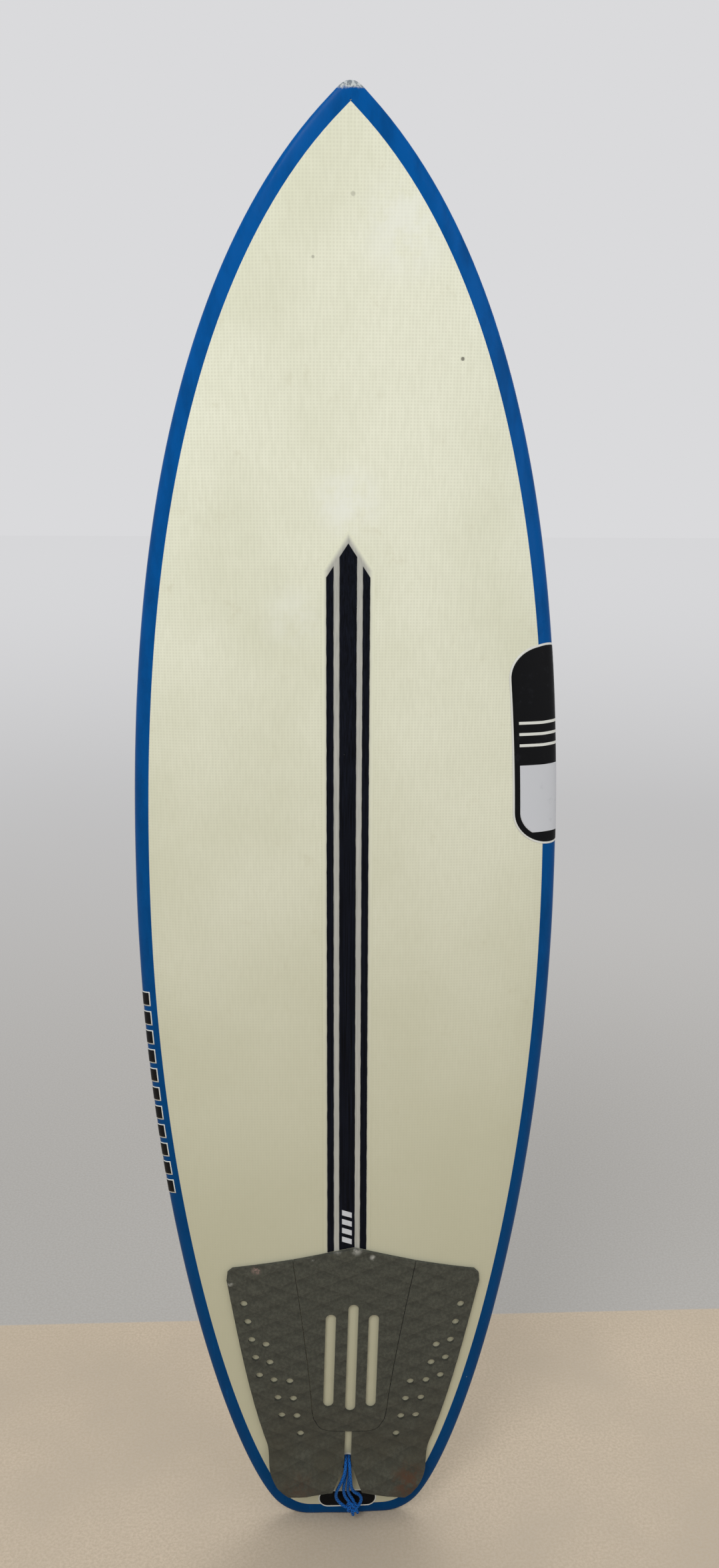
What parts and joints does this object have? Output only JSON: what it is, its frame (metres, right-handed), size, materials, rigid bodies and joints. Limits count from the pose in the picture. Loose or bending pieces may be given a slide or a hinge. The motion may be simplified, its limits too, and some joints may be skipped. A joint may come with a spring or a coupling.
{
  "type": "surfboard",
  "caption": "Squash-tail shortboard with a tinted rail band, carbon stringer strips, a kicked tail pad with leash plug and string, and removable fins in boxes.",
  "frame": {"origin": "middle of the flat on the end of the tail block, half way through the rail's upright wall", "axes": "+Z from tail to nose along the board, -Y out of the deck, +Y out of the bottom with the fins, +X to the right of someone facing the deck"},
  "size_m": [0.495, 0.214, 1.676],
  "materials": {
    "foam": "matte",
    "cream_deck": "satin",
    "cream_bottom": "gloss",
    "blue_resin": "gloss",
    "tape": "satin",
    "carbon": "satin",
    "silver_print": "satin",
    "black_print": "gloss",
    "pad_foam": "matte",
    "kick_foam": "matte",
    "cup_plastic": "satin",
    "steel": "satin",
    "blue_cord": "matte",
    "box_plastic": "satin",
    "fin_plastic": "gloss"
  },
  "bodies": {
    "board": {"foam_core": "foam", "deck_laminate": "cream_deck", "bottom_laminate": "cream_bottom", "rail_band": "blue_resin", "stringer_tape": "tape", "carbon_strip_center": "carbon", "carbon_strip_left": "carbon", "carbon_strip_right": "carbon", "strip_mark": "silver_print", "rail_decal": "black_print", "rail_marks": "black_print", "tail_decal": "black_print", "pad_center": "pad_foam", "pad_left": "pad_foam", "pad_right": "pad_foam", "kick_left": "kick_foam", "kick_right": "kick_foam", "leash_cup": "cup_plastic", "leash_pin": "steel", "leash_string_left": "blue_cord", "leash_string_right": "blue_cord", "leash_knot": "blue_cord", "fin_box_left": "box_plastic", "fin_box_right": "box_plastic", "fin_box_center": "box_plastic", "fin_screws_left": "steel", "fin_screws_right": "steel", "fin_screws_center": "steel"},
    "fin_left_blade": {"fin_left": "fin_plastic"},
    "fin_right_blade": {"fin_right": "fin_plastic"},
    "fin_center_blade": {"fin_center": "fin_plastic"}
  },
  "joints": [
    {"name": "fin_left_release", "type": "slide", "parent": "board", "child": "fin_left_blade", "axis": [-0.1044, 0.992, -0.0715], "range_m": [0, 0.012]},
    {"name": "fin_right_release", "type": "slide", "parent": "board", "child": "fin_right_blade", "axis": [0.1044, 0.992, -0.0715], "range_m": [0, 0.012]},
    {"name": "fin_center_release", "type": "slide", "parent": "board", "child": "fin_center_blade", "axis": [0, 0.994, -0.1093], "range_m": [0, 0.012]}
  ]
}
